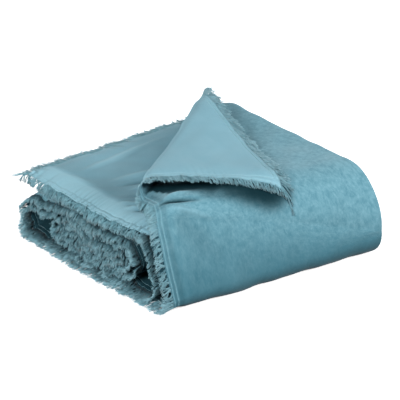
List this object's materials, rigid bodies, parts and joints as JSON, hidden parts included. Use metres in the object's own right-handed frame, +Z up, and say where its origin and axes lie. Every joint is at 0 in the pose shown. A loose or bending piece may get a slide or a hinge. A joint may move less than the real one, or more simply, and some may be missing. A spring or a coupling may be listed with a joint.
{
  "type": "comforter",
  "caption": "Light fringed comforter, velvet on one face and plain cotton on the other, folded into a soft bundle with a corner turned back.",
  "frame": {"origin": "centre of the bounding box, at the ground that the bundle lies on", "axes": "+X from the fringed hems to the closed fold, +Y from the rolled front to the back, where the upper end comes out, +Z up"},
  "size_m": [0.4546, 0.4728, 0.1865],
  "materials": {
    "velvet": "washed velvet with a soft nap",
    "cotton": "matte plain weave",
    "fringe": "matte frayed yarn"
  },
  "bodies": {
    "root": {"velvet_face": "velvet", "cotton_back": "cotton", "fringe_long_outer": "fringe", "fringe_long_inner": "fringe", "fringe_end_outer": "fringe", "fringe_end_inner": "fringe"}
  },
  "joints": []
}
